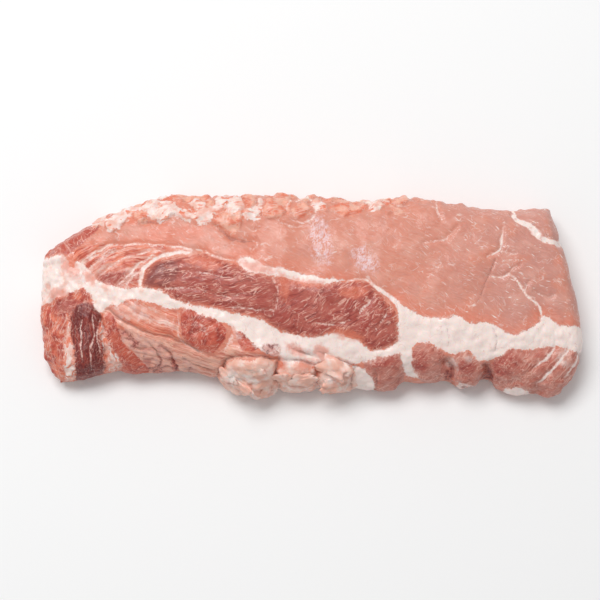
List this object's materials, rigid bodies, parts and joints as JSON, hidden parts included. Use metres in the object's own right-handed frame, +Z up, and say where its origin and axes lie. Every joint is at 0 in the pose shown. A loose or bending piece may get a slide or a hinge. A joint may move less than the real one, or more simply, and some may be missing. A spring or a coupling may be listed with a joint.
{
  "type": "raw rack of pork ribs",
  "caption": "Long raw slab of back ribs lying meat side up, with pale loin, dark blade muscles, white fat seams, lumpy trimmed rib ends and a ridged underside.",
  "frame": {"origin": "middle of the bounding box in plan, on the surface that the slab rests on", "axes": "+X along the slab from the blade end to the loin end, +Y across it from the trimmed rib ends at the front to the chine side at the back, +Z up through the meat side"},
  "size_m": [0.365, 0.136, 0.043],
  "materials": {
    "raw_meat": "satin"
  },
  "bodies": {
    "root": {"rack": "raw_meat"}
  },
  "joints": []
}
